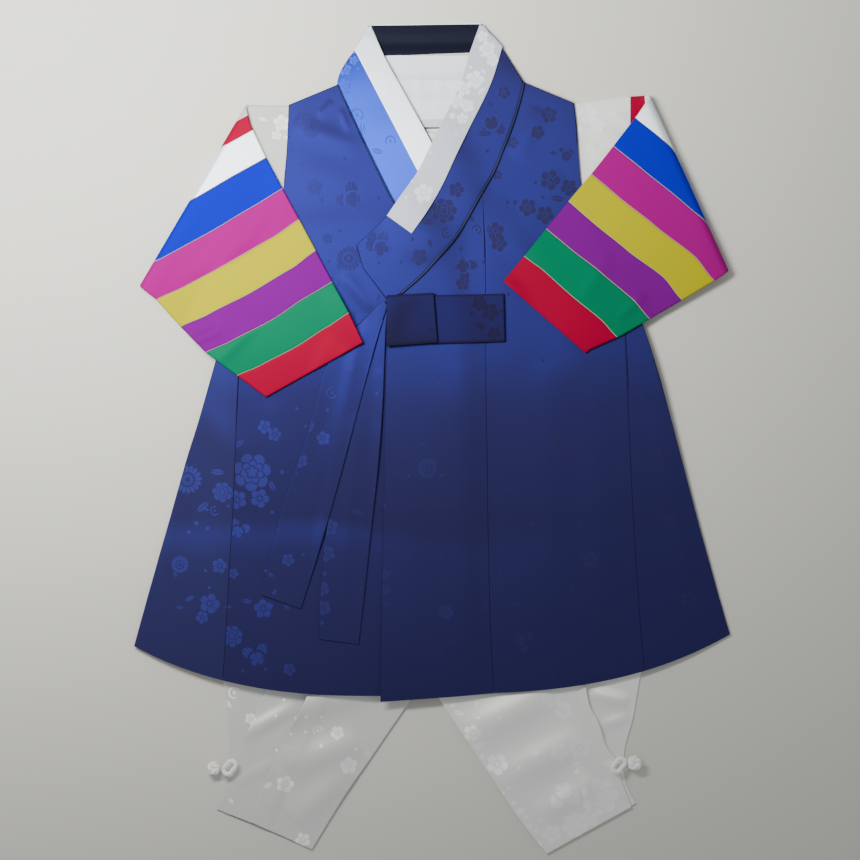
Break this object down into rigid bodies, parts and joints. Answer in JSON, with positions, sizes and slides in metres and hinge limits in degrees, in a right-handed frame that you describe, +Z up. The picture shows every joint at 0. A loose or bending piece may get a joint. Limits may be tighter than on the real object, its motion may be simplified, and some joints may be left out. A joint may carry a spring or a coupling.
{
  "type": "folded child's hanbok",
  "caption": "Small child's hanbok laid flat: long sleeveless coat with a ribbon tie, over a jacket with striped sleeves folded across the front, and trousers.",
  "frame": {"origin": "middle of the set's box, on the surface it lies on", "axes": "+X towards the wearer's left, +Y towards the neck, +Z up from the surface"},
  "size_m": [0.4774, 0.6668, 0.0197],
  "materials": {
    "blue_damask": "glossy patterned satin",
    "navy_satin": "satin",
    "ivory_jacquard": "soft sheen, woven pattern",
    "white_satin": "satin",
    "red_satin": "satin",
    "blue_satin": "satin",
    "magenta_satin": "satin",
    "yellow_satin": "satin",
    "purple_satin": "satin",
    "green_satin": "satin",
    "ivory_cord": "matte cord"
  },
  "bodies": {
    "root": {"coat_back": "blue_damask", "coat_left_front": "blue_damask", "coat_left_gore": "blue_damask", "coat_overlap": "blue_damask", "coat_right_front": "blue_damask", "coat_right_gore": "blue_damask", "collar_left": "blue_damask", "collar_left_piping": "navy_satin", "collar_left_strip": "ivory_jacquard", "collar_right": "blue_damask", "collar_right_piping": "navy_satin", "collar_right_strip": "white_satin", "jacket_back": "white_satin", "jacket_left_front": "ivory_jacquard", "jacket_right_front": "ivory_jacquard", "left_ankle_button": "ivory_cord", "left_ankle_loop": "ivory_cord", "left_sleeve_top": "ivory_jacquard", "left_stripe_blue": "blue_satin", "left_stripe_green": "green_satin", "left_stripe_magenta": "magenta_satin", "left_stripe_purple": "purple_satin", "left_stripe_red": "red_satin", "left_stripe_red_cuff": "red_satin", "left_stripe_white": "white_satin", "left_stripe_yellow": "yellow_satin", "nape_band": "navy_satin", "nape_rim": "white_satin", "neck_tab": "white_satin", "ribbon_bow": "blue_damask", "ribbon_knot": "blue_damask", "ribbon_tail_over": "blue_damask", "ribbon_tail_under": "blue_damask", "right_ankle_button": "ivory_cord", "right_ankle_loop": "ivory_cord", "right_sleeve_top": "ivory_jacquard", "right_stripe_blue": "blue_satin", "right_stripe_green": "green_satin", "right_stripe_magenta": "magenta_satin", "right_stripe_purple": "purple_satin", "right_stripe_red": "red_satin", "right_stripe_red_cuff": "red_satin", "right_stripe_white": "white_satin", "right_stripe_yellow": "yellow_satin", "trouser_left_back": "ivory_jacquard", "trouser_left_front": "ivory_jacquard", "trouser_right_back": "ivory_jacquard", "trouser_right_front": "ivory_jacquard", "trouser_right_side": "ivory_jacquard", "trouser_waistband": "ivory_jacquard"}
  },
  "joints": []
}
